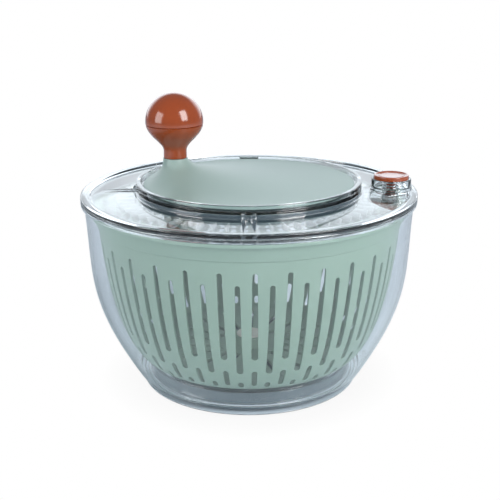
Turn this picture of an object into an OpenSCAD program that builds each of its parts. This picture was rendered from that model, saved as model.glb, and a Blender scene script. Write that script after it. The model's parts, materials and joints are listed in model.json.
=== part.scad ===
// Salad spinner: a clear bowl, a slotted basket that turns on a pin, and a clear lid with a
// geared crank disc, a ball knob and a push-button brake.
// Millimetres, +Z up. The origin is the centre of the foot's resting face.

/* [Bowl] */
// Outer radius of the bowl's rim, which the lid shares
rim_r = 125; // [124.5:0.1:126]
// Height of the bowl's rim above the table
bowl_h = 143.6; // [143:0.1:146]
// Outer radius of the foot ring
foot_r = 83.4; // [82.6:0.1:84]
// Wall thickness of the bowl
bowl_wall = 2.4; // [2:0.1:2.6]
// Height of the raised floor inside the bowl
floor_z = 18; // [17:0.1:18.5]

/* [Basket] */
// Wall thickness of the basket
basket_wall = 2; // [1.6:0.1:2.2]
// Number of high slots, with as many low ones between them
slot_pairs = 30; // [20:1:32]
// Width of a long slot at its top
slot_top_w = 3.6; // [3:0.1:4.4]
// Width of a long slot at its bottom
slot_low_w = 5; // [4:0.1:5.6]
// Angle of the first high slot from the -Y direction
slot_phase = 1.9; // [0:0.1:12]

/* [Lid] */
// Radius of the turret's wall
turret_r = 84; // [83.4:0.1:85]
// Number of small ribs round the lid's rim
grip_ribs = 16; // [8:1:24]
// Clearance round a turning or sliding shaft
running_gap = 0.05; // [0.02:0.01:0.1]

/* [Crank] */
// Radius of the crank disc
disc_r = 78.4; // [77:0.1:79]
// Distance from the middle of the disc to the knob's axis
crank_throw = 54.4; // [52:0.1:56]
// Radius of the knob's ball
ball_r = 21.2; // [20:0.1:22]

/* [Brake] */
// Distance from the middle of the lid to the button's axis
brake_x = 106.4; // [105.5:0.1:107]
// Travel of the button
brake_travel = 3.5; // [2:0.1:3.5]

/* [Drive] */
// Number of radial ribs on the drive plate
fan_ribs = 60; // [30:1:72]
// Gear module, tooth size
gear_module = 1.5; // [1.48:0.01:1.5]

/* [Hidden] */
$fn = 96;
eps = 0.01;

// Heights that the others hang on
seat_z = bowl_h + 0.2;          // underside of the lid's rim
ring_z = seat_z + 2.6;          // top of the lid's flat ring beside the turret
deck_z = seat_z + 6.8;          // top of the turret's deck
lip_z = seat_z + 11.2;          // top of the lip round the crank disc
cover_z = seat_z - 7.2;         // underside of the gear cover
gear_z = seat_z - 3.6;          // underside of the gears
disc_z = deck_z + 0.3;          // underside of the crank disc
disc_top_z = disc_z + 2.4;      // edge of the crank disc's upper face
neck_z = disc_z + 19.9;         // top of the cone under the knob
plate_z = seat_z - 7.8;         // top of the drive plate's outer band
basket_z = floor_z + 2.6;       // underside of the basket
basket_top = bowl_h - 5;

// Gears: 72-tooth ring, three 24-tooth planets, 24-tooth sun
sun_teeth = 24;
planet_teeth = 24;
ring_teeth = sun_teeth + 2 * planet_teeth;
planet_count = 3;
planet_orbit = gear_module * (sun_teeth + planet_teeth) / 2;
planet_start = 90;
pressure_angle = 20;
backlash = 0.06;
ring_outer_r = 63;
ring_flange_r = 69.5;

pivot_r = 5;
bush_r = 9;
shaft_r = 5;
axle_r = 3;
post_r = 4;
stem_r = 3.5;
neck_r = 8.9;
ball_z = neck_z + 26.7;
seam_z = ball_z - 1.8;
button_r = 13.1;
button_z = seat_z + 10.1;
collar_r = 14.8;
collar_bore_r = 13.4;
spring_turns = 4;
screw_r = 1.5;
screw_orbit = 74.5;
disc_screw_orbit = 59.5;
lug_count = 6;

smoke = [0.42, 0.47, 0.51];
sage = [0.67, 0.76, 0.71];
terracotta = [0.70, 0.30, 0.15];
clear = [0.88, 0.93, 0.96, 0.4];
steel = [0.75, 0.76, 0.78];
nylon = [0.9, 0.89, 0.85];

// Point of a cubic curve at t
function curve(p, t) =
    pow(1 - t, 3) * p[0] + 3 * pow(1 - t, 2) * t * p[1] + 3 * (1 - t) * t * t * p[2] + pow(t, 3) * p[3];

// Points of a cubic curve from t0 to t1
function curve_points(p, t0, t1, steps) = [for (i = [0 : steps]) curve(p, t0 + (t1 - t0) * i / steps)];

// The same points, moved sideways
function shifted(points, dx) = [for (q = points) [q[0] + dx, q[1]]];

function reversed(points) = [for (i = [len(points) - 1 : -1 : 0]) points[i]];

bowl_curve = [[foot_r + 3.3, 6.4], [rim_r + 1.5, 71], [rim_r - 7, 86], [rim_r - 2.4, bowl_h - 3.3]];
basket_curve = [[80.5, basket_z], [84, basket_z + 2], [106, 34], [rim_r - 12, bowl_h - 18.2]];

// Involute gear outline, or the outline of the spaces of a ring gear
function inv_angle(r, rb) = let(c = acos(min(1, rb / r))) tan(c) * 180 / PI - c;
function gear_outline(teeth, tip, root, play) =
    let(
        pitch = gear_module * teeth / 2,
        base = pitch * cos(pressure_angle),
        half = 90 / teeth - play / pitch * 180 / PI + inv_angle(pitch, base),
        low = max(base, root),
        radii = [for (i = [0 : 3]) low + (tip - low) * i / 3]
    )
    [for (k = [0 : teeth - 1])
        let(mid = k * 360 / teeth)
        each concat(
            [[root, mid - half + inv_angle(low, base)]],
            [for (r = radii) [r, mid - half + inv_angle(r, base)]],
            [for (i = [3 : -1 : 0]) [radii[i], mid + half - inv_angle(radii[i], base)]],
            [[root, mid + half - inv_angle(low, base)]]
        )
    ];

// Polar points to flat points, leaving out a point that repeats the one before
function flat(polar) = [
    for (i = [0 : len(polar) - 1])
        if (polar[i] != polar[(i + len(polar) - 1) % len(polar)])
            [polar[i][0] * cos(polar[i][1]), polar[i][0] * sin(polar[i][1])]
];

module gear_blank(teeth, height) {
    pitch = gear_module * teeth / 2;
    linear_extrude(height)
        polygon(flat(gear_outline(teeth, pitch + gear_module, pitch - 1.25 * gear_module, backlash)));
}

// Clear bowl with a raised floor, open underneath
module bowl_shell() {
    outer = curve_points(bowl_curve, 0, 1, 12);
    inner = shifted(curve_points(bowl_curve, 0.02, 1, 12), -bowl_wall);
    rotate_extrude()
        polygon(concat(
            [[foot_r - 3, 0], [foot_r - 0.5, 0], [foot_r, 0.5], [foot_r + 0.8, 6.4]],
            outer,
            [[rim_r - 0.4, bowl_h - 3.3], [rim_r, bowl_h - 2.9], [rim_r, bowl_h - 0.4], [rim_r - 0.4, bowl_h]],
            [[rim_r - 4.8, bowl_h]],
            reversed(inner),
            [[84.5, 8.8], [79.4, 8.8], [79, 9.2], [79, floor_z - 1], [78, floor_z], [0, floor_z]],
            [[0, floor_z - 2.4], [76.6, floor_z - 2.4], [76.6, 6.4], [foot_r - 3, 6.4]]
        ));
}

module bowl() color(clear)
    difference() {
        bowl_shell();
        cylinder(r = pivot_r, h = floor_z + 1);
    }

// Smoke-grey cup that closes the hollow under the floor
module base_plate() color(smoke)
    rotate_extrude()
        polygon([
            [0, 6.6], [75.8, 6.6], [76.3, 7.1], [76.3, floor_z - 2.4], [73.8, floor_z - 2.4],
            [73.8, 9], [12, 9], [12, floor_z - 5], [0, floor_z - 5]
        ]);

// Pin that the basket turns on, flanged under the bowl's floor
module bowl_pivot() color(steel)
    rotate_extrude()
        polygon([
            [0, floor_z - 5], [9, floor_z - 5], [9, floor_z - 2.4], [pivot_r, floor_z - 2.4],
            [pivot_r, floor_z + 8.8], [pivot_r - 1, floor_z + 9.8], [0, floor_z + 9.8]
        ]);

// Blind bush on the pin: it stands still while the basket turns round it
module basket_bush() color(nylon)
    rotate_extrude()
        polygon([
            [pivot_r + running_gap, floor_z + 0.1], [13, floor_z + 0.1], [13, basket_z - 0.2],
            [bush_r - running_gap, basket_z - 0.2], [bush_r - running_gap, basket_z + 9.7],
            [bush_r + 1.4, basket_z + 9.7], [bush_r + 0.6, basket_z + 10.7], [0, basket_z + 10.7],
            [0, floor_z + 10.2], [pivot_r + running_gap, floor_z + 10.2]
        ]);

// Outline of a slot that widens towards its lower end
module slot_shape(low_z, high_z, low_w, high_w) {
    translate([0, low_z + low_w / 2])
        circle(d = low_w, $fn = 24);
    translate([0, high_z - high_w / 2])
        circle(d = high_w, $fn = 24);
    polygon([
        [-low_w / 2, low_z + low_w / 2], [low_w / 2, low_z + low_w / 2],
        [high_w / 2, high_z - high_w / 2], [-high_w / 2, high_z - high_w / 2]
    ]);
}

// Slots through the wall at one angle from -Y
module slot_cut(angle)
    rotate([0, 0, angle])
        translate([0, -60, 0])
            rotate([90, 0, 0])
                linear_extrude(65)
                    children();

module basket_shell() {
    outer = curve_points(basket_curve, 0, 1, 8);
    rotate_extrude()
        polygon(concat(
            [[bush_r, basket_z]],
            outer,
            [[rim_r - 11.2, bowl_h - 17.8], [rim_r - 9.8, basket_top - 2.9], [rim_r - 7.5, basket_top - 2.6]],
            [[rim_r - 7.5, basket_top - 0.4], [rim_r - 7.9, basket_top], [rim_r - 11.8, basket_top]],
            [[rim_r - 13.2, bowl_h - 18.4]],
            reversed(shifted(curve_points(basket_curve, 0.22, 0.98, 7), -basket_wall)),
            [[80, basket_z + 2.4], [14, basket_z + 2.4], [12.6, basket_z + 9.5], [bush_r, basket_z + 9.5]]
        ));
}

// Inner ribs that the drive plate's lugs push on
module drive_dogs() {
    for (k = [0 : lug_count - 1], side = [-1, 1])
        rotate([0, 0, k * 360 / lug_count + side * 5.6])
            translate([rim_r - 13.8, -1.2, plate_z - 8])
                cube([2, 2.4, 9.5]);
}

module basket() color(sage) {
    step = 360 / slot_pairs;
    difference() {
        union() {
            basket_shell();
            drive_dogs();
        }
        for (k = [0 : slot_pairs - 1]) {
            slot_cut(slot_phase + k * step) {
                slot_shape(51, 117.4, slot_low_w, slot_top_w);
                slot_shape(26.3, 41.1, 4, 4);
            }
            slot_cut(slot_phase + (k + 0.5) * step) {
                slot_shape(38.7, 108.7, slot_low_w, slot_top_w);
                slot_shape(24.2, 29.8, 4, 4);
            }
        }
        for (k = [0 : 17])
            rotate([0, 0, k * 20])
                translate([24, -2, basket_z - 1])
                    cube([44, 4, 5]);
    }
}

// Clear lid: rim, flat ring, turret wall with a deck, and the lip round the crank disc
module lid_shell()
    rotate_extrude()
        polygon([
            [turret_r - 19.5, deck_z - 2.2], [turret_r - 2.4, deck_z - 2.2], [turret_r - 2.4, ring_z - 2.4],
            [rim_r - 7.5, seat_z - 1], [rim_r - 7.5, seat_z - 3.8], [rim_r - 5.6, seat_z - 3.8],
            [rim_r - 5.6, seat_z], [rim_r - 0.4, seat_z], [rim_r, seat_z + 0.4], [rim_r, seat_z + 2.4],
            [rim_r - 1, seat_z + 3.3], [rim_r - 6.4, seat_z + 3.6], [rim_r - 7.8, seat_z + 1.4],
            [turret_r, ring_z], [turret_r, lip_z - 1], [turret_r - 0.4, lip_z - 0.2],
            [turret_r - 1, lip_z], [turret_r - 3, lip_z], [turret_r - 3.4, lip_z - 0.4],
            [turret_r - 3.4, deck_z], [turret_r - 19.5, deck_z]
        ]);

// T-shaped catch on the outside of the turret
module turret_catch(angle)
    rotate([0, 0, angle]) {
        translate([turret_r - 0.6, -7, ring_z + 2.6])
            cube([2, 14, 2]);
        for (y = [-5, 2.4])
            translate([turret_r - 0.6, y, ring_z - 0.8])
                cube([2.6, 2.6, 4.2]);
    }

module lid() color(clear)
    difference() {
        union() {
            lid_shell();
            for (k = [0 : 3]) {
                turret_catch(k * 90);
                rotate([0, 0, k * 90 + 45])
                    translate([screw_orbit, 0, cover_z + 2.4])
                        cylinder(r = 3.4, h = deck_z - cover_z - 3, $fn = 48);
            }
            translate([brake_x, 0, seat_z + 0.4])
                cylinder(r = collar_r, h = 2);
            translate([brake_x, 0, seat_z - 0.8])
                cylinder(r = stem_r + 1.6, h = 4, $fn = 48);
            translate([brake_x, 0, seat_z])
                difference() {
                    cylinder(r = collar_r, h = 10.8);
                    translate([0, 0, -1])
                        cylinder(r = collar_bore_r, h = 13);
                }
        }
        translate([brake_x, 0, seat_z + 2.4])
            difference() {
                cylinder(r = collar_bore_r, h = 12);
                cylinder(r = stem_r + 1.6, h = 0.8, $fn = 48);
            }
        translate([brake_x, 0, seat_z - 5])
            cylinder(r = stem_r + running_gap, h = 12);
        for (k = [0 : 3])
            rotate([0, 0, k * 90 + 45])
                translate([screw_orbit, 0, cover_z])
                    cylinder(r = screw_r, h = 9.6, $fn = 32);
        for (k = [0 : grip_ribs - 1])
            rotate([0, 0, (k + 0.5) * 360 / grip_ribs + 5.25])
                translate([rim_r - 0.5, -0.6, seat_z - 1])
                    cube([2, 1.2, 3.2]);
    }

// Dark cup screwed under the lid: it carries the planets' axles and the shaft's bearing
module gear_cover() color(smoke)
    difference() {
        union() {
            rotate_extrude()
                polygon([
                    [shaft_r + running_gap, cover_z - 2.4], [9, cover_z - 2.4], [9, cover_z], [80.1, cover_z],
                    [80.5, cover_z + 0.4], [80.5, deck_z - 2.2], [78.5, deck_z - 2.2], [78.5, cover_z + 2.4],
                    [9, cover_z + 2.4], [9, gear_z - 0.2], [shaft_r + running_gap, gear_z - 0.2]
                ]);
            planet_places()
                translate([0, 0, cover_z + 1])
                    cylinder(r = 6, h = gear_z - cover_z - 1, $fn = 48);
        }
        planet_places()
            translate([0, 0, cover_z - 1])
                cylinder(r = axle_r, h = 8, $fn = 48);
        for (k = [0 : 3])
            rotate([0, 0, k * 90 + 45])
                translate([screw_orbit, 0, cover_z - 1])
                    cylinder(r = screw_r, h = 5, $fn = 32);
    }

module planet_places(first = 1, last = planet_count)
    for (k = [first : last])
        rotate([0, 0, planet_start + (k - 1) * 360 / planet_count])
            translate([planet_orbit, 0, 0])
                children();

// Pan-head screw along +Z, head down, starting at its head
module screw(head_r, head_h, shank_r, length) {
    difference() {
        cylinder(r = head_r, h = head_h, $fn = 32);
        for (turn = [0, 90])
            rotate([0, 0, turn])
                translate([-head_r * 0.6, -0.4, -eps])
                    cube([head_r * 1.2, 0.8, head_h * 0.5]);
    }
    translate([0, 0, head_h - eps])
        cylinder(r = shank_r, h = length + eps, $fn = 32);
}

module cover_screws() color(steel)
    for (k = [0 : 3])
        rotate([0, 0, k * 90 + 45])
            translate([screw_orbit, 0, cover_z - 1.8])
                screw(3, 1.8, screw_r, 9);

module planet_axle(index) color(steel)
    planet_places(index, index)
        translate([0, 0, cover_z]) {
            cylinder(r = axle_r, h = 11, $fn = 48);
            translate([0, 0, 10.8])
                cylinder(r = 4.6, h = 1, $fn = 48);
        }

module planet_gear(index) color(nylon)
    planet_places(index, index)
        translate([0, 0, gear_z + 0.1])
            difference() {
                gear_blank(planet_teeth, 6.9);
                translate([0, 0, -1])
                    cylinder(r = axle_r + running_gap, h = 9, $fn = 72);
            }

module planet_axle_1() planet_axle(1);
module planet_axle_2() planet_axle(2);
module planet_axle_3() planet_axle(3);
module planet_gear_1() planet_gear(1);
module planet_gear_2() planet_gear(2);
module planet_gear_3() planet_gear(3);

// Sun gear and its shaft, moulded in one, with a blind hole for the screw underneath
module sun_gear() color(nylon)
    difference() {
        union() {
            translate([0, 0, gear_z])
                rotate([0, 0, 180 / sun_teeth])
                    gear_blank(sun_teeth, 7);
            translate([0, 0, plate_z - 8])
                cylinder(r = shaft_r, h = gear_z - plate_z + 16, $fn = 72);
        }
        translate([0, 0, plate_z - 9])
            cylinder(r = screw_r, h = 7, $fn = 32);
    }

// Ribbed clear plate that takes the sun gear's turning to the basket
module drive_plate() color(clear)
    difference() {
        union() {
            rotate_extrude()
                polygon([
                    [shaft_r, plate_z - 8], [10, plate_z - 8], [11, plate_z - 5], [84, plate_z - 4.6],
                    [86, plate_z - 2.2], [110.1, plate_z - 2.2], [110.5, plate_z - 1.8], [110.5, plate_z - 0.4],
                    [110.1, plate_z], [84.6, plate_z], [82.6, plate_z - 2.4], [12, plate_z - 2.6],
                    [10, plate_z - 2.2], [shaft_r, plate_z - 2.2]
                ]);
            for (k = [0 : lug_count - 1])
                rotate([0, 0, k * 360 / lug_count])
                    intersection() {
                        translate([109, -8, plate_z - 2.2])
                            cube([4, 16, 2.2]);
                        translate([0, 0, plate_z - 3])
                            cylinder(r = rim_r - 12.9, h = 5);
                    }
            for (k = [0 : fan_ribs - 1])
                rotate([0, 0, (k + 0.5) * 360 / fan_ribs])
                    translate([86, -0.7, plate_z - 0.5])
                        cube([13.5, 1.4, 6.1]);
        }
    }

module shaft_washer() color(steel)
    translate([0, 0, plate_z - 9.2])
        difference() {
            cylinder(r = 8, h = 1.2, $fn = 48);
            translate([0, 0, -1])
                cylinder(r = screw_r, h = 4, $fn = 32);
        }

module shaft_screw() color(steel)
    translate([0, 0, plate_z - 11])
        screw(3.4, 1.8, screw_r, 6.4);

// Height of the crank disc's upper face on the circle at step s, towards direction a
function disc_height(s, a) =
    disc_top_z
    + (neck_z - disc_top_z) * (0.28 * exp(-s / 0.03) + 0.72 * pow(1 - s, 1.95 + 0.65 * cos(a)))
    - 0.6 * sin(180 * s);

// Eccentric rings from the cone's neck to the disc's edge, drawn in by skin all round
disc_steps = [0, 0.02, 0.05, 0.1, 0.17, 0.26, 0.38, 0.52, 0.68, 0.84, 1];
disc_sides = 60;
function disc_ring(s, skin) = [
    for (i = [0 : disc_sides - 1])
        let(a = 360 * i / disc_sides, r = neck_r + (disc_r - neck_r) * s - skin)
        [-crank_throw * (1 - s) + r * cos(a), r * sin(a), disc_height(s, a) - skin]
];

module disc_body(skin, low_z) {
    rings = len(disc_steps) + 1;
    edge = disc_ring(1, skin);
    points = concat(
        [for (s = disc_steps) each disc_ring(s, skin)],
        [for (q = edge) [q[0], q[1], low_z]]
    );
    sides = [
        for (j = [0 : rings - 2], i = [0 : disc_sides - 1])
            let(n = (i + 1) % disc_sides)
            each [
                [j * disc_sides + i, (j + 1) * disc_sides + n, (j + 1) * disc_sides + i],
                [j * disc_sides + i, j * disc_sides + n, (j + 1) * disc_sides + n]
            ]
    ];
    top = [for (i = [disc_sides - 1 : -1 : 0]) i];
    bottom = [for (i = [0 : disc_sides - 1]) (rings - 1) * disc_sides + i];
    polyhedron(points = points, faces = concat([top], sides, [bottom]), convexity = 6);
}

module crank_disc() color(sage)
    difference() {
        disc_body(0, disc_z);
        difference() {
            disc_body(2.4, disc_z - 1);
            difference() {
                cylinder(r = ring_outer_r, h = neck_z);
                translate([0, 0, -1])
                    cylinder(r = ring_outer_r - 7.5, h = neck_z + 2);
            }
            translate([-crank_throw, 0, 0])
                cylinder(r = post_r + 3, h = neck_z);
        }
        translate([-crank_throw, 0, disc_z + 3])
            cylinder(r = post_r, h = 40, $fn = 72);
        disc_screw_places()
            translate([0, 0, disc_z - 1])
                cylinder(r = 1.4, h = 3.2, $fn = 32);
    }

module disc_screw_places()
    for (k = [0 : 3])
        rotate([0, 0, 45 + k * 90])
            translate([disc_screw_orbit, 0, 0])
                children();

// Internal gear fixed under the disc; its flange runs under the lid's deck and holds the disc down
module ring_gear() color(nylon)
    difference() {
        rotate_extrude()
            polygon([
                [50, gear_z], [ring_outer_r, gear_z], [ring_outer_r, gear_z + 5.5], [ring_flange_r, gear_z + 5.5],
                [ring_flange_r, gear_z + 7.9], [ring_outer_r, gear_z + 7.9], [ring_outer_r, disc_z],
                [ring_outer_r - 7, disc_z], [ring_outer_r - 7, gear_z + 7.5], [50, gear_z + 7.5]
            ]);
        translate([0, 0, gear_z - 1])
            linear_extrude(9)
                polygon(flat(gear_outline(
                    ring_teeth,
                    gear_module * (ring_teeth / 2 + 1.25),
                    gear_module * (ring_teeth / 2 - 0.9),
                    -backlash
                )));
        disc_screw_places()
            translate([0, 0, gear_z - 1]) {
                cylinder(r = 2.5, h = 2.8, $fn = 32);
                cylinder(r = 1.4, h = 20, $fn = 32);
            }
    }

module disc_screws() color(steel)
    disc_screw_places()
        translate([0, 0, gear_z])
            screw(2.4, 1.8, 1.35, disc_z - gear_z + 0.2);

module knob_post() color(steel)
    translate([-crank_throw, 0, 0])
        difference() {
            translate([0, 0, disc_z + 3])
                cylinder(r = post_r, h = seam_z + 0.4 - disc_z - 3, $fn = 72);
            translate([0, 0, seam_z - 7])
                cylinder(r = screw_r, h = 9, $fn = 32);
        }

module knob_washer() color(steel)
    translate([-crank_throw, 0, seam_z + 0.4])
        difference() {
            cylinder(r = 7, h = 1, $fn = 48);
            translate([0, 0, -1])
                cylinder(r = screw_r, h = 3, $fn = 32);
        }

module knob_screw() color(steel)
    translate([-crank_throw, 0, seam_z + 3.4])
        rotate([180, 0, 0])
            screw(3.6, 2, screw_r, 7);

// Lower half of the knob: a straight neck that swells into the ball, and the bore for the post
module knob_lower() color(terracotta) {
    foot_z = neck_z + 0.2;
    waist_r = neck_r - 0.4;
    widest_r = ball_r - 0.1;
    swell = [[waist_r, foot_z + 5.6], [waist_r + 0.2, foot_z + 11.1], [widest_r - 1.8, foot_z + 15.6],
        [widest_r, seam_z - 0.4]];
    translate([-crank_throw, 0, 0])
        rotate_extrude()
            polygon(concat(
                [[post_r + running_gap, foot_z], [waist_r - 0.4, foot_z], [waist_r, foot_z + 0.4]],
                curve_points(swell, 0, 1, 8),
                [[ball_r - 0.9, seam_z], [post_r + running_gap, seam_z]]
            ));
}

// Hollow upper half of the knob
module knob_upper() color(terracotta)
    translate([-crank_throw, 0, 0])
        difference() {
            intersection() {
                translate([0, 0, ball_z])
                    sphere(r = ball_r, $fn = 96);
                translate([0, 0, seam_z])
                    cylinder(r = ball_r + 2, h = 2 * ball_r);
            }
            difference() {
                translate([0, 0, ball_z])
                    sphere(r = ball_r - 2.6, $fn = 96);
                cylinder(r = ball_r, h = seam_z - 5);
            }
        }

// Button cap, sunk a little on top
module brake_button() color(terracotta)
    translate([brake_x, 0, button_z])
        rotate_extrude()
            polygon([
                [0, 0], [button_r - 0.5, 0], [button_r, 0.5], [button_r, 2.7], [button_r - 0.7, 3.3],
                [button_r - 2.1, 3.3], [button_r - 2.6, 2.7], [0, 2.7]
            ]);

module brake_stem() color(terracotta)
    translate([brake_x, 0, button_z]) {
        translate([0, 0, -2.6])
            cylinder(r = stem_r + 1, h = 2.6, $fn = 48);
        translate([0, 0, -12])
            cylinder(r = stem_r, h = 12, $fn = 72);
    }

module brake_pad() color(smoke)
    translate([brake_x, 0, plate_z + brake_travel + 0.1])
        cylinder(r = 4.5, h = button_z - 12 - plate_z - brake_travel - 0.1, $fn = 48);

// Return spring between the lid and the button, drawn as stacked turns
module brake_spring() color(steel) {
    low = seat_z + 2.4;
    wire_r = 0.45;
    pitch = (button_z - low - 2 * wire_r - 0.1) / (spring_turns - 1);
    for (k = [0 : spring_turns - 1])
        translate([brake_x, 0, low + wire_r + 0.05 + k * pitch])
            rotate_extrude($fn = 48)
                translate([6.3, 0])
                    circle(r = wire_r, $fn = 16);
}

bowl();
base_plate();
bowl_pivot();
basket_bush();
basket();
lid();
gear_cover();
cover_screws();
planet_axle_1();
planet_axle_2();
planet_axle_3();
planet_gear_1();
planet_gear_2();
planet_gear_3();
sun_gear();
drive_plate();
shaft_washer();
shaft_screw();
crank_disc();
ring_gear();
disc_screws();
knob_post();
knob_washer();
knob_screw();
knob_lower();
knob_upper();
brake_button();
brake_stem();
brake_pad();
brake_spring();
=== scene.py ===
import bpy
import json
import math
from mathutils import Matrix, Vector


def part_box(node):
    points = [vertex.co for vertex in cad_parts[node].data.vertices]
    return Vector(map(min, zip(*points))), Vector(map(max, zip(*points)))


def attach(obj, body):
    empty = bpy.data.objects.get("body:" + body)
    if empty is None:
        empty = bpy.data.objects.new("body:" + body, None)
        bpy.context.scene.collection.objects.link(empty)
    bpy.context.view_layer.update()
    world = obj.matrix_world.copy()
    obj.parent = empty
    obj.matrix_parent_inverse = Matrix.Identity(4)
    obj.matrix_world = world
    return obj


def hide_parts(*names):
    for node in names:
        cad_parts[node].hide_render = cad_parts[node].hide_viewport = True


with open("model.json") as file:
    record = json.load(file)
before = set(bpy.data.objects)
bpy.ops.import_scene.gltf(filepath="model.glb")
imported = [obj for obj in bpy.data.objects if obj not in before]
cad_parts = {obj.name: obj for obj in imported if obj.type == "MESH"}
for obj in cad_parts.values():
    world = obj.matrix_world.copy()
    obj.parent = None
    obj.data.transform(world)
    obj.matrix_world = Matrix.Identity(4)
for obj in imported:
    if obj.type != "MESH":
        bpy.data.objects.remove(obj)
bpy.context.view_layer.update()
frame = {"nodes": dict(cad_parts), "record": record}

scene = bpy.context.scene


# sizes in this script are millimetres, and mm() turns them to metres
def mm(*values):
    return tuple(v / 1000 for v in values)


def low(node, axis):
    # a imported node's lower limit along an axis
    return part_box(node)[0][axis] * 1000


def high(node, axis):
    # its upper limit
    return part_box(node)[1][axis] * 1000


def curvePoint(p, t):
    # a point of a cubic curve with four control points
    u = 1 - t
    weights = (u ** 3, 3 * u * u * t, 3 * u * t * t, t ** 3)
    return tuple(sum(w * v for w, v in zip(weights, values)) for values in zip(*p))


def curvePoints(p, start, end, steps):
    # its points from one share of the way to another
    return [curvePoint(p, start + (end - start) * i / steps) for i in range(steps + 1)]


def roundOff(corners, closed=True, steps=4):
    # corners are (radius, height) or (radius, height, fillet); a fillet becomes a short arc
    out = []
    count = len(corners)
    for i, corner in enumerate(corners):
        here = Vector(corner[:2])
        if len(corner) < 3 or (not closed and i in (0, count - 1)):
            out.append(tuple(here))
            continue
        back = Vector(corners[i - 1][:2]) - here
        ahead = Vector(corners[(i + 1) % count][:2]) - here
        half = back.angle(ahead) / 2
        setback = min(corner[2] / math.tan(half), back.length * 0.49, ahead.length * 0.49)
        first = here + back.normalized() * setback
        last = here + ahead.normalized() * setback
        for k in range(steps + 1):
            t = k / steps
            out.append(tuple(first * (1 - t) ** 2 + here * 2 * t * (1 - t) + last * t * t))
    return out


def editMode():
    bpy.ops.object.mode_set(mode="EDIT")


def objectMode():
    bpy.ops.object.mode_set(mode="OBJECT")


def only(piece):
    # one piece selected and active
    bpy.ops.object.select_all(action="DESELECT")
    piece.select_set(True)
    bpy.context.view_layer.objects.active = piece


def settle(piece, angle=28):
    # place goes into the mesh, doubles go, faces turn outwards
    only(piece)
    bpy.ops.object.transform_apply(location=True, rotation=True, scale=True)
    editMode()
    bpy.ops.mesh.select_all(action="SELECT")
    bpy.ops.mesh.remove_doubles(threshold=1e-6)
    bpy.ops.mesh.normals_make_consistent(inside=False)
    objectMode()
    bpy.ops.object.shade_smooth_by_angle(angle=math.radians(angle))


def turn(name, outline, closed=True, steps=180, centre=(0, 0), sweep=360):
    # the half section is drawn by extruding one vertex, then spun round the upright axis
    bpy.ops.object.select_all(action="DESELECT")
    bpy.ops.mesh.primitive_plane_add(size=0.01)
    piece = bpy.context.object
    piece.name = name
    editMode()
    bpy.ops.mesh.merge(type="CENTER")
    bpy.ops.transform.translate(value=mm(outline[0][0], 0, outline[0][1]))
    drawn = outline + [outline[0]] if closed else outline
    for (r0, z0), (r1, z1) in zip(drawn, drawn[1:]):
        bpy.ops.mesh.extrude_vertices_move(TRANSFORM_OT_translate={"value": mm(r1 - r0, 0, z1 - z0)})
    bpy.ops.mesh.select_all(action="SELECT")
    bpy.ops.mesh.remove_doubles(threshold=1e-7)
    bpy.ops.mesh.spin(steps=steps, angle=math.radians(sweep), center=(0, 0, 0), axis=(0, 0, 1))
    bpy.ops.mesh.select_all(action="SELECT")
    bpy.ops.transform.translate(value=mm(centre[0], centre[1], 0))
    objectMode()
    settle(piece)
    return piece


def block(name, size, place, spin=0, bevel=0.0):
    # a box, turned about the upright axis through the middle of the object, with softened edges
    bpy.ops.object.select_all(action="DESELECT")
    bpy.ops.mesh.primitive_cube_add(size=1, location=mm(*place))
    piece = bpy.context.object
    piece.name = name
    piece.scale = mm(*size)
    bpy.ops.object.transform_apply(location=False, rotation=False, scale=True)
    if bevel:
        editMode()
        bpy.ops.mesh.select_all(action="SELECT")
        bpy.ops.mesh.bevel(offset=bevel / 1000, segments=2, affect="EDGES")
        objectMode()
    bpy.ops.object.transform_apply(location=True, rotation=True, scale=True)
    if spin:
        editMode()
        bpy.ops.mesh.select_all(action="SELECT")
        bpy.ops.transform.rotate(value=math.radians(-spin), orient_axis="Z", center_override=(0, 0, 0))
        objectMode()
    return piece


def cut(piece, tool, operation="DIFFERENCE"):
    # a boolean step whose tool is used up
    only(piece)
    step = piece.modifiers.new("cut", "BOOLEAN")
    step.operation = operation
    step.solver = "EXACT"
    step.object = tool
    bpy.ops.object.modifier_apply(modifier=step.name)
    bpy.data.objects.remove(tool)


def join(pieces):
    # several meshes become one
    only(pieces[0])
    for piece in pieces:
        piece.select_set(True)
    bpy.ops.object.join()
    return bpy.context.object


def finishPiece(piece, body, slot, material, *nodes):
    # the piece's finish, the body it moves with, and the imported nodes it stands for
    piece.data.materials.clear()
    piece.data.materials.append(material)
    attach(piece, body)
    if nodes:
        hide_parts(*nodes)


def linear(hexColour):
    # an sRGB colour as the linear values that the shaders take
    values = [int(hexColour[i:i + 2], 16) / 255 for i in (1, 3, 5)]
    return tuple(v / 12.92 if v <= 0.04045 else ((v + 0.055) / 1.055) ** 2.4 for v in values) + (1.0,)


def addNode(tree, kind, settings=(), links=()):
    # text keys that name a property set it, all others set an input
    node = tree.nodes.new(kind)
    for key, value in dict(settings).items():
        if isinstance(key, str) and hasattr(node, key):
            setattr(node, key, value)
        else:
            node.inputs[key].default_value = value
    for socket, source in dict(links).items():
        tree.links.new(source, node.inputs[socket])
    return node


def newMaterial(name):
    material = bpy.data.materials.new(name)
    material.use_nodes = True
    material.node_tree.nodes.clear()
    return material, material.node_tree


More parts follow.
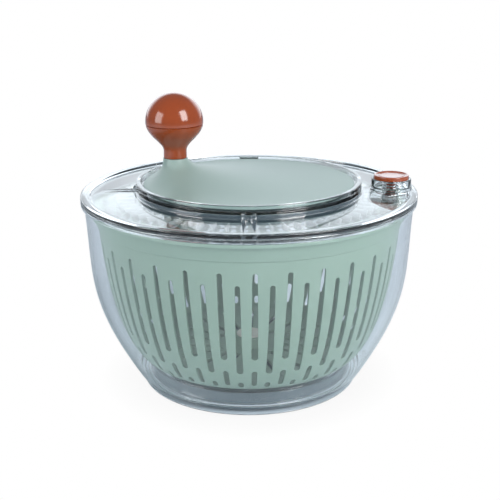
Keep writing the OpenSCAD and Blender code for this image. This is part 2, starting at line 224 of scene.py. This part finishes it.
def mouldedPlastic(name, colour, deeper, roughness, grainMm, grainDepth, ior=1.49, coat=0.0, milky=0.0):
    # injection-moulded plastic: even colour with a faint cloud, and the fine grain of an eroded mould,
    # drawn about five times as coarse as real so that it shows
    material, tree = newMaterial(name)
    where = addNode(tree, "ShaderNodeTexCoord")
    cloud = addNode(tree, "ShaderNodeTexNoise", {"Scale": 1000 / 35, "Detail": 3.0, "Roughness": 0.55},
                    {"Vector": where.outputs["Object"]})
    tint = addNode(tree, "ShaderNodeMix", {"data_type": "RGBA", 6: linear(colour), 7: linear(deeper)},
                   {0: cloud.outputs["Fac"]})
    grain = addNode(tree, "ShaderNodeTexNoise", {"Scale": 1000 / grainMm, "Detail": 2.0, "Roughness": 0.6},
                    {"Vector": where.outputs["Object"]})
    rub = addNode(tree, "ShaderNodeMapRange", {3: roughness * 0.85, 4: roughness * 1.2},
                  {0: grain.outputs["Fac"]})
    relief = addNode(tree, "ShaderNodeBump", {"Strength": 0.5, "Distance": grainDepth / 1000},
                     {"Height": grain.outputs["Fac"]})
    shader = addNode(tree, "ShaderNodeBsdfPrincipled",
                     {"IOR": ior, "Coat Weight": coat, "Coat Roughness": 0.08, "Subsurface Weight": milky,
                      "Subsurface Radius": (0.004, 0.004, 0.004), "Subsurface Scale": 1.0},
                     {"Base Color": tint.outputs[2], "Roughness": rub.outputs[0],
                      "Normal": relief.outputs[0]})
    addNode(tree, "ShaderNodeOutputMaterial", {}, {"Surface": shader.outputs[0]})
    return material


def clearStyrene(name, tint):
    # clear polystyrene from a polished mould: flow lines about 18 mm apart that only bend what is seen
    # through it, light wear in the gloss, and lamps shine through it
    material, tree = newMaterial(name)
    where = addNode(tree, "ShaderNodeTexCoord")
    flow = addNode(tree, "ShaderNodeTexNoise", {"Scale": 1000 / 18, "Detail": 2.0, "Distortion": 0.6},
                   {"Vector": where.outputs["Object"]})
    wear = addNode(tree, "ShaderNodeTexNoise", {"Scale": 1000 / 1.5, "Detail": 4.0},
                   {"Vector": where.outputs["Object"]})
    gloss = addNode(tree, "ShaderNodeMapRange", {1: 0.45, 2: 0.8, 3: 0.0, 4: 0.06},
                    {0: wear.outputs["Fac"]})
    relief = addNode(tree, "ShaderNodeBump", {"Strength": 0.3, "Distance": 0.000004},
                     {"Height": flow.outputs["Fac"]})
    shader = addNode(tree, "ShaderNodeBsdfPrincipled",
                     {"Base Color": linear(tint), "IOR": 1.57, "Transmission Weight": 1.0},
                     {"Roughness": gloss.outputs[0], "Normal": relief.outputs[0]})
    through = addNode(tree, "ShaderNodeBsdfTransparent", {"Color": linear(tint)})
    path = addNode(tree, "ShaderNodeLightPath")
    bounced = addNode(tree, "ShaderNodeMixShader", {},
                      {0: path.outputs["Is Diffuse Ray"], 1: shader.outputs[0], 2: through.outputs[0]})
    lampLit = addNode(tree, "ShaderNodeMixShader", {},
                      {0: path.outputs["Is Shadow Ray"], 1: bounced.outputs[0], 2: through.outputs[0]})
    addNode(tree, "ShaderNodeOutputMaterial", {}, {"Surface": lampLit.outputs[0]})
    return material


def paintedGlintEdge(name, colour, grainMm):
    # clear styrene made rough and whitish, half letting light through: a rough surface, and a whitish body
    # that is a painted glint standing in for lamp light caught on the rib tops
    material, tree = newMaterial(name)
    where = addNode(tree, "ShaderNodeTexCoord")
    grain = addNode(tree, "ShaderNodeTexNoise", {"Scale": 1000 / grainMm, "Detail": 3.0},
                    {"Vector": where.outputs["Object"]})
    rub = addNode(tree, "ShaderNodeMapRange", {3: 0.12, 4: 0.3}, {0: grain.outputs["Fac"]})
    relief = addNode(tree, "ShaderNodeBump", {"Strength": 0.5, "Distance": 0.00001},
                     {"Height": grain.outputs["Fac"]})
    shader = addNode(tree, "ShaderNodeBsdfPrincipled",
                     {"Base Color": linear(colour), "IOR": 1.57, "Transmission Weight": 0.6},
                     {"Roughness": rub.outputs[0], "Normal": relief.outputs[0]})
    addNode(tree, "ShaderNodeOutputMaterial", {}, {"Surface": shader.outputs[0]})
    return material


def platedSteel(name, colour):
    # zinc-plated steel, drawn and plated: fine lines with a soft sheen, drawn coarser than real
    material, tree = newMaterial(name)
    where = addNode(tree, "ShaderNodeTexCoord")
    lines = addNode(tree, "ShaderNodeTexNoise", {"Scale": 1000 / 0.6, "Detail": 3.0},
                    {"Vector": where.outputs["Object"]})
    rub = addNode(tree, "ShaderNodeMapRange", {3: 0.2, 4: 0.4}, {0: lines.outputs["Fac"]})
    relief = addNode(tree, "ShaderNodeBump", {"Strength": 0.4, "Distance": 0.00001},
                     {"Height": lines.outputs["Fac"]})
    shader = addNode(tree, "ShaderNodeBsdfPrincipled", {"Base Color": linear(colour), "Metallic": 1.0},
                     {"Roughness": rub.outputs[0], "Normal": relief.outputs[0]})
    addNode(tree, "ShaderNodeOutputMaterial", {}, {"Surface": shader.outputs[0]})
    return material


# polished styrene of the bowl and the lid: water-clear, with hard reflections
clearPlastic = clearStyrene("clearStyrene", "#fbfdfe")
# satin polypropylene: a soft sheen and a slightly waxy body; the disc's copy is painted bluer, a painted
# sheen that stands in for the bright wall's reflection
sagePlastic = mouldedPlastic("sagePolypropylene", "#9bb1a0", "#92a997", 0.45, 0.7, 0.012, milky=0.05)
discPaintedSheenPlastic = mouldedPlastic("sagePolypropyleneDiscPaintedSheen", "#9eb3ac", "#98ada6", 0.42, 0.7, 0.012, milky=0.05)
# high-gloss ABS of the knob and the button: lamps stand on it as clear-edged windows
terracottaPlastic = mouldedPlastic("terracottaAbs", "#a34a22", "#97421d", 0.16, 2.5, 0.003, ior=1.53,
                                   coat=0.4)
# satin ABS of the cup and the base plate, nylon of the gears, and rubber of the brake; the smoke grey is
# darkened as painted shade, standing in for the shadow inside the turret
smokeAndShadePlastic = mouldedPlastic("smokeGreyAbsPaintedShade", "#4a5860", "#424f57", 0.3, 0.8, 0.01, ior=1.53)
nylonPlastic = mouldedPlastic("naturalNylon", "#e4e1d6", "#d9d5c8", 0.5, 0.9, 0.012, ior=1.53, milky=0.05)
brakeRubber = mouldedPlastic("mouldedRubber", "#3a3d40", "#303336", 0.75, 0.5, 0.02, ior=1.52)
# whitish rib tops: painted glints
paintedGlintStyrene = paintedGlintEdge("paintedGlintStyrene", "#f4f8fa", 0.5)
zincSteel = platedSteel("platedSteel", "#c9cbcf")
print("materials made")


# a bulge or a shoulder is a point that the wall's curve leans towards, as radius and height
bowlSize = {"rim": 125, "lipHeight": 3.3, "lipWidth": 4.8, "wall": 2.4, "foot": 83.4, "footHeight": 6.4,
            "footThick": 3, "bulge": (126.5, 71), "shoulder": (118, 86), "drum": 79, "floor": 18,
            "floorThick": 2.4, "channel": 8.8, "hollow": 76.6, "bore": 5.08, "rings": 180}


def makeBowl(s):
    top = high("bowl", 2)
    under = s["floor"] - s["floorThick"]
    innerFoot = s["foot"] - s["footThick"]
    outer = [(s["foot"] + 3.3, s["footHeight"]), s["bulge"], s["shoulder"],
             (s["rim"] - s["wall"], top - s["lipHeight"])]
    wall = curvePoints(outer, 0, 1, 40)
    inside = [(r - s["wall"], z) for r, z in curvePoints(outer, 0.02, 0.99, 40)]
    outline = roundOff(
        [(s["bore"], under), (s["hollow"], under, 0.8), (s["hollow"], s["footHeight"], 1.0),
         (innerFoot, s["footHeight"], 0.6), (innerFoot, 0, 0.9),
         (s["foot"] - 0.2, 0, 0.9), (s["foot"] + 0.8, s["footHeight"] - 0.3, 0.5)]
        + [(wall[0][0], wall[0][1] + 0.3, 0.5)] + wall[1:-1]
        + [(wall[-1][0], wall[-1][1], 0.5), (s["rim"], top - s["lipHeight"], 0.9), (s["rim"], top, 0.8),
           (s["rim"] - s["lipWidth"], top, 0.7)]
        + inside[::-1]
        + [(s["foot"] + 0.8, s["channel"], 1.5), (s["drum"], s["channel"], 0.8),
           (s["drum"], s["floor"], 1.6), (s["bore"], s["floor"])])
    return turn("bowl_shell", outline, steps=s["rings"])


bowlPiece = makeBowl(bowlSize)
finishPiece(bowlPiece, "bowl", "clear_plastic", clearPlastic, "bowl")
print("bowl done")


# a slot is its lower and upper end's height; joint is the radius where the wall's slices meet the floor's
basketSize = {"wall": 2.0, "foot": 80.5, "belly": (106, 34), "pairs": 30, "phase": 4.9, "slotTop": 3.6,
              "slotLow": 5.0, "shortWide": 4, "highSlot": (51, 117.4), "lowSlot": (38.7, 108.7),
              "stub": (26.3, 41.1), "eye": (24.2, 29.8), "hub": 14, "hubBore": 9.0, "hubHeight": 9.5,
              "floorThick": 2.4, "floorSlots": 18, "floorSlot": (24, 68), "joint": 76, "edge": 0.55}


def slotTool(turned, lowZ, highZ, lowWide, highWide):
    # a slot outline, round at both ends, stood up and pushed out through the wall on the -Y side
    bpy.ops.object.select_all(action="DESELECT")
    bpy.ops.mesh.primitive_circle_add(vertices=20, radius=lowWide / 2000, fill_type="NGON",
                                      location=mm(0, -62, lowZ + lowWide / 2), rotation=(math.pi / 2, 0, 0))
    tool = bpy.context.object
    bpy.ops.object.transform_apply(location=True, rotation=True)
    middle = (lowZ + lowWide / 2) / 1000
    for v in tool.data.vertices:
        if v.co.z > middle - 1e-7:
            v.co.x *= highWide / lowWide
            v.co.z = (v.co.z - middle) * highWide / lowWide + (highZ - highWide / 2) / 1000
    editMode()
    bpy.ops.mesh.select_all(action="SELECT")
    bpy.ops.mesh.extrude_region_move(TRANSFORM_OT_translate={"value": mm(0, -60, 0)})
    bpy.ops.mesh.select_all(action="SELECT")
    bpy.ops.mesh.normals_make_consistent(inside=False)
    bpy.ops.transform.rotate(value=math.radians(-turned), orient_axis="Z", center_override=(0, 0, 0))
    objectMode()
    return tool


def azimuth(co):
    # direction from the upright axis, in degrees
    return math.degrees(math.atan2(co.y, co.x))


def makeSector(name, outline, sweep, tools, joint, edge, steps):
    # one closed slice of a ring, centred on -Y, cut and softened, with its joint faces taken off again
    piece = turn(name, outline, steps=steps, sweep=sweep)
    middle = sum(azimuth(v.co) for v in piece.data.vertices) / len(piece.data.vertices)
    editMode()
    bpy.ops.mesh.select_all(action="SELECT")
    bpy.ops.transform.rotate(value=math.radians(middle + 90), orient_axis="Z", center_override=(0, 0, 0))
    bpy.ops.mesh.fill_holes(sides=0)
    bpy.ops.mesh.select_all(action="SELECT")
    bpy.ops.mesh.normals_make_consistent(inside=False)
    objectMode()
    for tool in tools:
        cut(piece, tool)
    only(piece)
    editMode()
    bpy.ops.mesh.select_mode(type="FACE")
    bpy.ops.mesh.select_all(action="DESELECT")
    objectMode()
    for face in piece.data.polygons:
        corners = [piece.data.vertices[i].co for i in face.vertices]
        side = all(abs(abs(azimuth(c) + 90) - sweep / 2) < 0.01 for c in corners)
        seam = all(abs(Vector(c[:2]).length * 1000 - joint) < 0.06 for c in corners)
        face.select = side or seam
    editMode()
    bpy.ops.mesh.delete(type="FACE")
    bpy.ops.mesh.select_mode(type="VERT")
    objectMode()
    soft = piece.modifiers.new("softEdges", "BEVEL")
    soft.width = edge / 1000
    soft.segments = 2
    soft.limit_method = "ANGLE"
    soft.angle_limit = math.radians(50)
    soft.harden_normals = True
    bpy.ops.object.modifier_apply(modifier=soft.name)
    return piece


def repeatRound(piece, count, first=0.0):
    # copies of one slice, each with its own mesh, turned round the upright axis
    copies = []
    for k in range(count):
        only(piece)
        bpy.ops.object.duplicate()
        copy = bpy.context.object
        editMode()
        bpy.ops.mesh.select_all(action="SELECT")
        bpy.ops.transform.rotate(value=math.radians(-(first + k * 360 / count)), orient_axis="Z",
                                 center_override=(0, 0, 0))
        objectMode()
        copies.append(copy)
    bpy.data.objects.remove(piece)
    return copies


def makeBasket(s):
    base = low("basket", 2)
    top = high("basket", 2)
    rim = high("bowl", 0)
    outer = [(s["foot"], base), (s["foot"] + 3.5, base + 2), s["belly"], (rim - 12, top - 13.2)]
    outside = curvePoints(outer, 0, 1, 40)
    inside = [(r - s["wall"], z) for r, z in curvePoints(outer, 0.22, 0.98, 40)]
    under = base + s["floorThick"]
    wall = roundOff(
        [(s["joint"], base)] + outside
        + [(rim - 11.2, top - 12.8, 0.3), (rim - 9.8, top - 2.9, 0.6), (rim - 7.5, top - 2.6, 0.5),
           (rim - 7.5, top, 0.7), (rim - 11.8, top, 0.6), (rim - 13.2, top - 13.4)]
        + inside[::-1] + [(80, under, 2.5), (s["joint"], under)])
    step = 360 / s["pairs"]
    tools = [slotTool(-step / 4, *s["highSlot"], s["slotLow"], s["slotTop"]),
             slotTool(-step / 4, *s["stub"], s["shortWide"], s["shortWide"]),
             slotTool(step / 4, *s["lowSlot"], s["slotLow"], s["slotTop"]),
             slotTool(step / 4, *s["eye"], s["shortWide"], s["shortWide"])]
    wallSlice = makeSector("basket_wall", wall, step, tools, s["joint"], s["edge"], 6)
    floor = roundOff(
        [(s["hubBore"], base, 0.4), (s["joint"], base), (s["joint"], under), (s["hub"], under, 0.8),
         (s["hub"] - 1.4, base + s["hubHeight"], 0.6), (s["hubBore"], base + s["hubHeight"], 0.3)])
    inner, outerEnd = s["floorSlot"]
    slot = block("floor_slot", (4, outerEnd - inner, 8), (0, -(inner + outerEnd) / 2, base + 1))
    floorStep = 360 / s["floorSlots"]
    floorSlice = makeSector("basket_floor", floor, floorStep, [slot], s["joint"], s["edge"], 10)
    pieces = repeatRound(wallSlice, s["pairs"], s["phase"])
    pieces += repeatRound(floorSlice, s["floorSlots"], s["phase"] - step / 2)
    piece = join(pieces)
    piece.name = "basket_shell"
    editMode()
    bpy.ops.mesh.select_all(action="SELECT")
    bpy.ops.mesh.remove_doubles(threshold=4e-6)
    objectMode()
    return piece


basketPiece = makeBasket(basketSize)
finishPiece(basketPiece, "basket", "sage_plastic", sagePlastic, "basket")
print("basket done, faces", len(basketPiece.data.polygons))


lidSize = {"turret": 84, "wall": 2.4, "ring": 2.6, "deck": 6.8, "lip": 11.2, "lipWidth": 3.4,
           "deckInner": 64.5, "skirt": 7.5, "catches": 4, "collar": 14.8, "collarBore": 13.4,
           "collarHeight": 10.8, "boss": 5.1, "stemBore": 3.55, "notches": 16, "notchPhase": 16.5,
           "notch": (1.6, 0.9, 3.4), "catchBar": (2.2, 14, 2), "catchLeg": (2.8, 2.6, 4.4)}


def makeLid(s):
    rim = high("lid", 0)
    seat = high("bowl", 2) + 0.2
    ring = seat + s["ring"]
    deck = seat + s["deck"]
    lip = seat + s["lip"]
    t = s["turret"]
    outline = roundOff([
        (s["deckInner"], deck - 2.2, 0.5), (t - s["wall"], deck - 2.2, 1.0),
        (t - s["wall"], ring - 2.4, 0.6), (rim - s["skirt"], seat - 1, 0.8),
        (rim - s["skirt"], seat - 3.8, 0.6), (rim - 5.6, seat - 3.8, 0.6),
        (rim - 5.6, seat, 0.4), (rim, seat, 0.7), (rim, seat + 2.5, 1.0), (rim - 1.2, seat + 3.4, 1.0),
        (rim - 6.4, seat + 3.6, 1.2), (rim - 7.8, seat + 1.4, 0.9), (t, ring, 0.8), (t, lip, 0.9),
        (t - s["lipWidth"], lip, 0.5), (t - s["lipWidth"], deck, 0.5), (s["deckInner"], deck, 0.5)])
    shell = turn("lid_shell", outline, steps=192)
    extras = []
    for k in range(s["catches"]):
        angle = k * 360 / s["catches"]
        extras.append(block("catch_bar", s["catchBar"], (t + 0.6, 0, ring + 3.6), angle, 0.4))
        for side in (-3.7, 3.7):
            extras.append(block("catch_leg", s["catchLeg"], (t + 0.7, side, ring + 1.4), angle, 0.4))
    buttonX = (low("brake_button", 0) + high("brake_button", 0)) / 2
    collar = roundOff([
        (s["collarBore"], seat + 2.4, 0.6), (s["collarBore"], seat + s["collarHeight"], 0.5),
        (s["collar"], seat + s["collarHeight"], 0.5), (s["collar"], seat + 5.4, 0.4),
        (s["collar"] + 0.9, seat + 4.6, 0.4), (s["collar"] + 0.9, seat + 2.8, 0.4),
        (s["collar"], seat + 0.6, 0.2), (s["stemBore"], seat + 0.6, 0.2), (s["stemBore"], seat + 3.2, 0.3),
        (s["boss"], seat + 3.2, 0.3), (s["boss"], seat + 2.4, 0.2)])
    drill = s["stemBore"] + 0.02
    hole = [(0, seat - 4), (drill, seat - 4), (drill, seat + 1.0), (0, seat + 1.0)]
    cut(shell, turn("stem_hole", hole, closed=False, steps=48, centre=(buttonX, 0)))
    cut(shell, turn("collar", collar, steps=96, centre=(buttonX, 0)), "UNION")
    cut(shell, join(extras), "UNION")
    step = 360 / s["notches"]
    notches = [block("rim_notch", s["notch"], (rim, 0, seat + 0.7), s["notchPhase"] + step * k, 0.2)
               for k in range(s["notches"])]
    cut(shell, join(notches))
    only(shell)
    bpy.ops.object.shade_smooth_by_angle(angle=math.radians(30))
    return shell


lidPiece = makeLid(lidSize)
finishPiece(lidPiece, "lid", "clear_plastic", clearPlastic, "lid")
print("lid done, faces", len(lidPiece.data.polygons))


discSize = {"neck": 8.9, "bore": 4.05, "thick": 2.4, "skin": 2.4, "throw": 54.4, "edge": 1.0, "sides": 144,
            "rings": 34, "sharp": 0.28, "dish": 0.6}


def discHeight(s, step, direction, edgeZ, neckZ):
    # steep beside the neck, flatter towards the far side, and a little dished
    fall = (1 - step) ** (1.95 + 0.65 * math.cos(direction))
    rise = s["sharp"] * math.exp(-step / 0.03) + (1 - s["sharp"]) * fall
    return edgeZ + (neckZ - edgeZ) * rise - s["dish"] * math.sin(math.pi * step)


def makeDisc(s):
    bottom = low("crank_disc", 2)
    neckZ = high("crank_disc", 2)
    rim = high("crank_disc", 0)
    edgeZ = bottom + s["thick"]
    # each ring is its middle's distance from the axis, radius, height, and where it follows the formula,
    # its step from neck to edge and its depth below the face
    steps = [(i / s["rings"]) ** 1.7 for i in range(s["rings"] + 1)]
    rings = [(s["throw"], s["bore"], neckZ, None)]
    rings += [(s["throw"] * (1 - t), s["neck"] + (rim - s["neck"]) * t, 0, (t, 0)) for t in steps]
    e = s["edge"]
    rings[-1] = (0, rim - e, 0, (1, 0))
    rings += [(0, rim - e * (1 - math.sin(a)), edgeZ - e * (1 - math.cos(a)), None)
              for a in (0.4, 0.8, 1.2, 1.5708)]
    rings += [(0, rim, bottom + 0.5, None), (0, rim - 0.5, bottom, None),
              (0, rim - s["skin"], bottom, None)]
    rings += [(s["throw"] * (1 - t), s["neck"] + (rim - s["neck"]) * t - s["skin"], 0, (t, s["skin"]))
              for t in steps[::-1]]
    rings += [(s["throw"], s["bore"], neckZ - s["skin"], None), (s["throw"], s["bore"], neckZ, None)]
    bpy.ops.object.select_all(action="DESELECT")
    bpy.ops.mesh.primitive_circle_add(vertices=s["sides"], radius=rings[0][1] / 1000,
                                      location=mm(-rings[0][0], 0, rings[0][2]))
    piece = bpy.context.object
    piece.name = "crank_disc_shell"
    bpy.ops.object.transform_apply(location=True)
    editMode()
    bpy.ops.mesh.select_all(action="SELECT")
    for before, after in zip(rings, rings[1:]):
        bpy.ops.mesh.extrude_region_move(
            TRANSFORM_OT_translate={"value": mm(before[0] - after[0], 0, after[2] - before[2])})
        ratio = after[1] / before[1]
        bpy.ops.transform.resize(value=(ratio, ratio, 1), center_override=mm(-after[0], 0, after[2]))
    objectMode()
    for k, ring in enumerate(rings):
        if ring[3] is None:
            continue
        step, skin = ring[3]
        for v in piece.data.vertices[k * s["sides"]:(k + 1) * s["sides"]]:
            direction = math.atan2(v.co.y, v.co.x + ring[0] / 1000)
            v.co.z = max(bottom, discHeight(s, step, direction, edgeZ, neckZ) - skin) / 1000
    settle(piece, 35)
    return piece


discPiece = makeDisc(discSize)
# the disc takes the bluer copy of the sage, whose colour holds a painted sheen
finishPiece(discPiece, "crank", "sage_plastic", discPaintedSheenPlastic, "crank_disc")
print("crank disc done")


knobSize = {"neck": 8.5, "bore": 4.05, "wall": 2.6, "seamGap": 0.35}


def arc(radius, middleZ, fromZ, toZ, steps):
    # points of a circle round (0, middleZ) between two heights
    a = math.asin((fromZ - middleZ) / radius)
    b = math.asin(max(-1, min(1, (toZ - middleZ) / radius)))
    angles = [a + (b - a) * i / steps for i in range(steps + 1)]
    return [(radius * math.cos(angle), middleZ + radius * math.sin(angle)) for angle in angles]


def makeKnob(s):
    foot = low("knob_lower", 2)
    seam = low("knob_upper", 2)
    top = high("knob_upper", 2)
    ball = (high("knob_upper", 0) - low("knob_upper", 0)) / 2
    middle = top - ball
    centre = ((high("knob_upper", 0) + low("knob_upper", 0)) / 2, 0)
    widest = arc(ball, middle, seam - s["seamGap"], middle, 1)[0]
    swell = [(s["neck"], foot + 5.6), (s["neck"] + 0.2, foot + 11.1),
             (widest[0] - 1.8, foot + 15.6), widest]
    waist = curvePoints(swell, 0, 1, 24)
    lowerOutline = roundOff(
        [(s["bore"], foot, 0.3), (s["neck"] + 0.1, foot, 0.5)] + waist
        + [(widest[0] - 0.7, seam), (s["bore"], seam)])
    lower = turn("knob_lower_shell", lowerOutline, steps=96, centre=centre)
    inner = ball - s["wall"]
    upperOutline = ([(0, top)] + arc(ball, middle, top - 0.02, seam + s["seamGap"], 30)
                    + [(ball - 0.7, seam)] + arc(inner, middle, seam, middle + inner - 0.02, 24)
                    + [(0, middle + inner)])
    upper = turn("knob_upper_shell", upperOutline, closed=False, steps=96, centre=centre)
    return lower, upper


knobLower, knobUpper = makeKnob(knobSize)
finishPiece(knobLower, "knob", "terracotta_plastic", terracottaPlastic, "knob_lower")
finishPiece(knobUpper, "knob", "terracotta_plastic", terracottaPlastic, "knob_upper")
print("knob done")


buttonSize = {"rimWidth": 1.5, "sunk": 0.7, "bead": 0.35}


def makeButton(s):
    base = low("brake_button", 2)
    top = high("brake_button", 2)
    r = (high("brake_button", 0) - low("brake_button", 0)) / 2
    centre = ((high("brake_button", 0) + low("brake_button", 0)) / 2, 0)
    outline = roundOff([
        (0, base), (r, base, 0.5), (r, top, 0.8), (r - s["rimWidth"], top, 0.4),
        (r - s["rimWidth"] - 0.6, top - s["sunk"], 0.4), (r - 3.4, top - s["sunk"], 0.2),
        (r - 3.6, top - s["sunk"] + s["bead"], 0.15), (r - 4.1, top - s["sunk"] + s["bead"], 0.15),
        (r - 4.3, top - s["sunk"], 0.2), (0, top - s["sunk"] + 0.15)], closed=False)
    return turn("brake_button_cap", outline, closed=False, steps=96, centre=centre)


buttonPiece = makeButton(buttonSize)
finishPiece(buttonPiece, "brake", "terracotta_plastic", terracottaPlastic, "brake_button")
print("brake button done")


plateSize = {"drop": 7.6, "bore": 5.0, "hub": 10, "web": 84, "band": 110.5, "ribs": 60, "ribInner": 86,
             "ribOuter": 99.5, "ribWide": 1.7, "ribHigh": 5.6, "lugs": 6, "lug": (3.6, 15, 2.0),
             "lugOuter": 112.1}


def makePlate(s):
    top = high("bowl", 2) - s["drop"]
    outline = roundOff([
        (s["bore"], top - 8, 0.4), (s["hub"], top - 8, 0.6), (s["hub"] + 1, top - 5, 1.0),
        (s["web"], top - 4.6, 1.0), (s["web"] + 2, top - 2.2, 0.8), (s["band"], top - 2.2, 0.6),
        (s["band"], top, 0.6), (s["web"] + 0.6, top, 0.6), (s["web"] - 1.4, top - 2.4, 0.8),
        (s["hub"] + 2, top - 2.6, 0.8), (s["hub"], top - 2.2, 0.3), (s["bore"], top - 2.2, 0.3)])
    plate = turn("drive_plate_shell", outline, steps=180)
    extras = []
    length = s["ribOuter"] - s["ribInner"]
    for k in range(s["ribs"]):
        extras.append(block("fan_rib", (length, s["ribWide"], s["ribHigh"] + 0.5),
                            (s["ribInner"] + length / 2, 0, top + s["ribHigh"] / 2 - 0.25),
                            (k + 0.5) * 360 / s["ribs"], 0.55))
    for k in range(s["lugs"]):
        extras.append(block("drive_lug", s["lug"], (s["lugOuter"] - 1.9, 0, top - 1.1),
                            k * 360 / s["lugs"], 0.3))
    cut(plate, join(extras), "UNION")
    only(plate)
    bpy.ops.object.shade_smooth_by_angle(angle=math.radians(30))
    return plate


platePiece = makePlate(plateSize)
finishPiece(platePiece, "drive", "clear_plastic", clearPlastic, "drive_plate")
# the ribs get the second, whitish material: painted glints
platePiece.data.materials.append(paintedGlintStyrene)
ribFoot = (high("bowl", 2) - plateSize["drop"] + 0.3) / 1000
for face in platePiece.data.polygons:
    face.material_index = int(face.center.z > ribFoot)  # the ribs stand above the plate and take the whitish finish of painted glints
print("drive plate done, faces", len(platePiece.data.polygons))


# gears, pins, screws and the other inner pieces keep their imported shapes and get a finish
finishes = {"steel": zincSteel, "white_nylon": nylonPlastic, "smoke_plastic": smokeAndShadePlastic,
            "clear_plastic": clearPlastic, "brake_rubber": brakeRubber,
            "terracotta_plastic": terracottaPlastic, "sage_plastic": sagePlastic}
rebuilt = ["bowl", "basket", "lid", "crank_disc", "knob_lower", "knob_upper", "brake_button", "drive_plate"]
for part in frame["record"]["subparts"]:
    if part["node"] not in rebuilt:
        mesh = frame["nodes"][part["node"]].data
        mesh.materials.clear()
        mesh.materials.append(finishes[part["material_slot"]])
print("kept pieces dressed")


# the stage's and the lamps' sizes are metres
stageSize = {"floor": 20.0, "toCamera": "#ffffff", "toGlass": "#e2e9f0", "contact": 0.03,
             "contactShade": 0.92}


def makeStage(s):
    # white painted board; reflections and glass meet it a little greyer, as under a flagged set
    bpy.ops.object.select_all(action="DESELECT")
    bpy.ops.mesh.primitive_plane_add(size=s["floor"], location=(0, 0, 0))
    floor = bpy.context.object
    floor.name = "studio_floor"
    material, tree = newMaterial("paintedBoard")
    path = addNode(tree, "ShaderNodeLightPath")
    near = addNode(tree, "ShaderNodeAmbientOcclusion", {"Distance": s["contact"]})
    soft = addNode(tree, "ShaderNodeMapRange", {3: s["contactShade"], 4: 1.0}, {0: near.outputs["AO"]})
    seen = addNode(tree, "ShaderNodeEmission", {"Color": linear(s["toCamera"])},
                   {"Strength": soft.outputs[0]})
    behind = addNode(tree, "ShaderNodeBsdfDiffuse", {"Color": linear(s["toGlass"])})
    both = addNode(tree, "ShaderNodeMixShader", {},
                   {0: path.outputs["Is Camera Ray"], 1: behind.outputs[0], 2: seen.outputs[0]})
    addNode(tree, "ShaderNodeOutputMaterial", {}, {"Surface": both.outputs[0]})
    floor.data.materials.append(material)


# azimuth from the front towards +X, elevation, distance, width, height and brightness
lampSize = {"left_softbox": (-64, 19, 1.6, 0.8, 0.95, 4.6), "right_softbox": (46, 31, 1.6, 0.72, 1.05, 9.0)}


def makeSoftbox(name, azimuthFromFront, elevation, distance, width, height, radiance, target=(0, 0, 0.12)):
    # a rectangular lamp aimed at the middle of the spinner; radiance times area times pi is its power
    a, e = math.radians(azimuthFromFront), math.radians(elevation)
    towards = Vector((math.sin(a) * math.cos(e), -math.cos(a) * math.cos(e), math.sin(e)))
    place = towards * distance + Vector(target)
    data = bpy.data.lights.new(name, "AREA")
    data.shape = "RECTANGLE"
    data.size = width
    data.size_y = height
    data.energy = radiance * math.pi * width * height
    lamp = bpy.data.objects.new(name, data)
    scene.collection.objects.link(lamp)
    lamp.location = place
    lamp.rotation_euler = (Vector(target) - place).to_track_quat("-Z", "Y").to_euler()


# a wall limit is the part of a direction's length where the wall starts and where it is full
worldSize = {"front": 0.42, "back": 2.2, "seen": 1.2, "wallSide": (0.5, 0.85), "wallTop": (0.62, 0.4),
             "tint": "#e9f1f8", "dark": "#b9c8d4", "plain": "#ffffff"}


def makeWorld(s):
    # the room: a bright wall low behind the spinner, darker in front and overhead;
    # plain white where the camera looks past the spinner
    world = bpy.data.worlds.new("studio")
    world.use_nodes = True
    tree = world.node_tree
    tree.nodes.clear()
    where = addNode(tree, "ShaderNodeTexCoord")
    split = addNode(tree, "ShaderNodeSeparateXYZ", {}, {0: where.outputs["Generated"]})
    near, full = s["wallSide"]
    back = addNode(tree, "ShaderNodeMapRange", {1: near, 2: full, "interpolation_type": "SMOOTHSTEP"},
                   {0: split.outputs["Y"]})
    near, full = s["wallTop"]
    under = addNode(tree, "ShaderNodeMapRange", {1: near, 2: full, "interpolation_type": "SMOOTHSTEP"},
                    {0: split.outputs["Z"]})
    wall = addNode(tree, "ShaderNodeMath", {"operation": "MULTIPLY"},
                   {0: back.outputs[0], 1: under.outputs[0]})
    bright = addNode(tree, "ShaderNodeBackground", {"Color": linear(s["tint"]), "Strength": s["back"]})
    dim = addNode(tree, "ShaderNodeBackground", {"Color": linear(s["dark"]), "Strength": s["front"]})
    room = addNode(tree, "ShaderNodeMixShader", {},
                   {0: wall.outputs[0], 1: dim.outputs[0], 2: bright.outputs[0]})
    seen = addNode(tree, "ShaderNodeBackground", {"Color": linear(s["plain"]), "Strength": s["seen"]})
    path = addNode(tree, "ShaderNodeLightPath")
    both = addNode(tree, "ShaderNodeMixShader", {},
                   {0: path.outputs["Is Camera Ray"], 1: room.outputs[0], 2: seen.outputs[0]})
    addNode(tree, "ShaderNodeOutputWorld", {}, {"Surface": both.outputs[0]})
    scene.world = world


makeStage(stageSize)
makeWorld(worldSize)
for lampName, lampValues in lampSize.items():
    makeSoftbox(lampName, *lampValues)
scene.view_settings.view_transform = "Standard"
scene.cycles.caustics_refractive = False
scene.cycles.caustics_reflective = False
scene.cycles.max_bounces = 20
scene.cycles.transmission_bounces = 20
scene.cycles.transparent_max_bounces = 32
print("stage and light done")

# millimetres of lens, metres of place, degrees of tilt and roll
cameraSize = {"lens": 69.55, "back": 0.7078, "up": 0.3181, "tilt": 19.32, "roll": -0.32,
              "shiftX": 0.0011, "shiftY": 0.0707}
camera = bpy.data.objects.new("camera", bpy.data.cameras.new("camera"))
scene.collection.objects.link(camera)
camera.location = (0, -cameraSize["back"], cameraSize["up"])
camera.rotation_mode = "ZYX"
camera.rotation_euler = (math.radians(90 - cameraSize["tilt"]), 0, math.radians(cameraSize["roll"]))
camera.data.lens = cameraSize["lens"]
camera.data.shift_x = cameraSize["shiftX"]
camera.data.shift_y = cameraSize["shiftY"]
scene.camera = camera
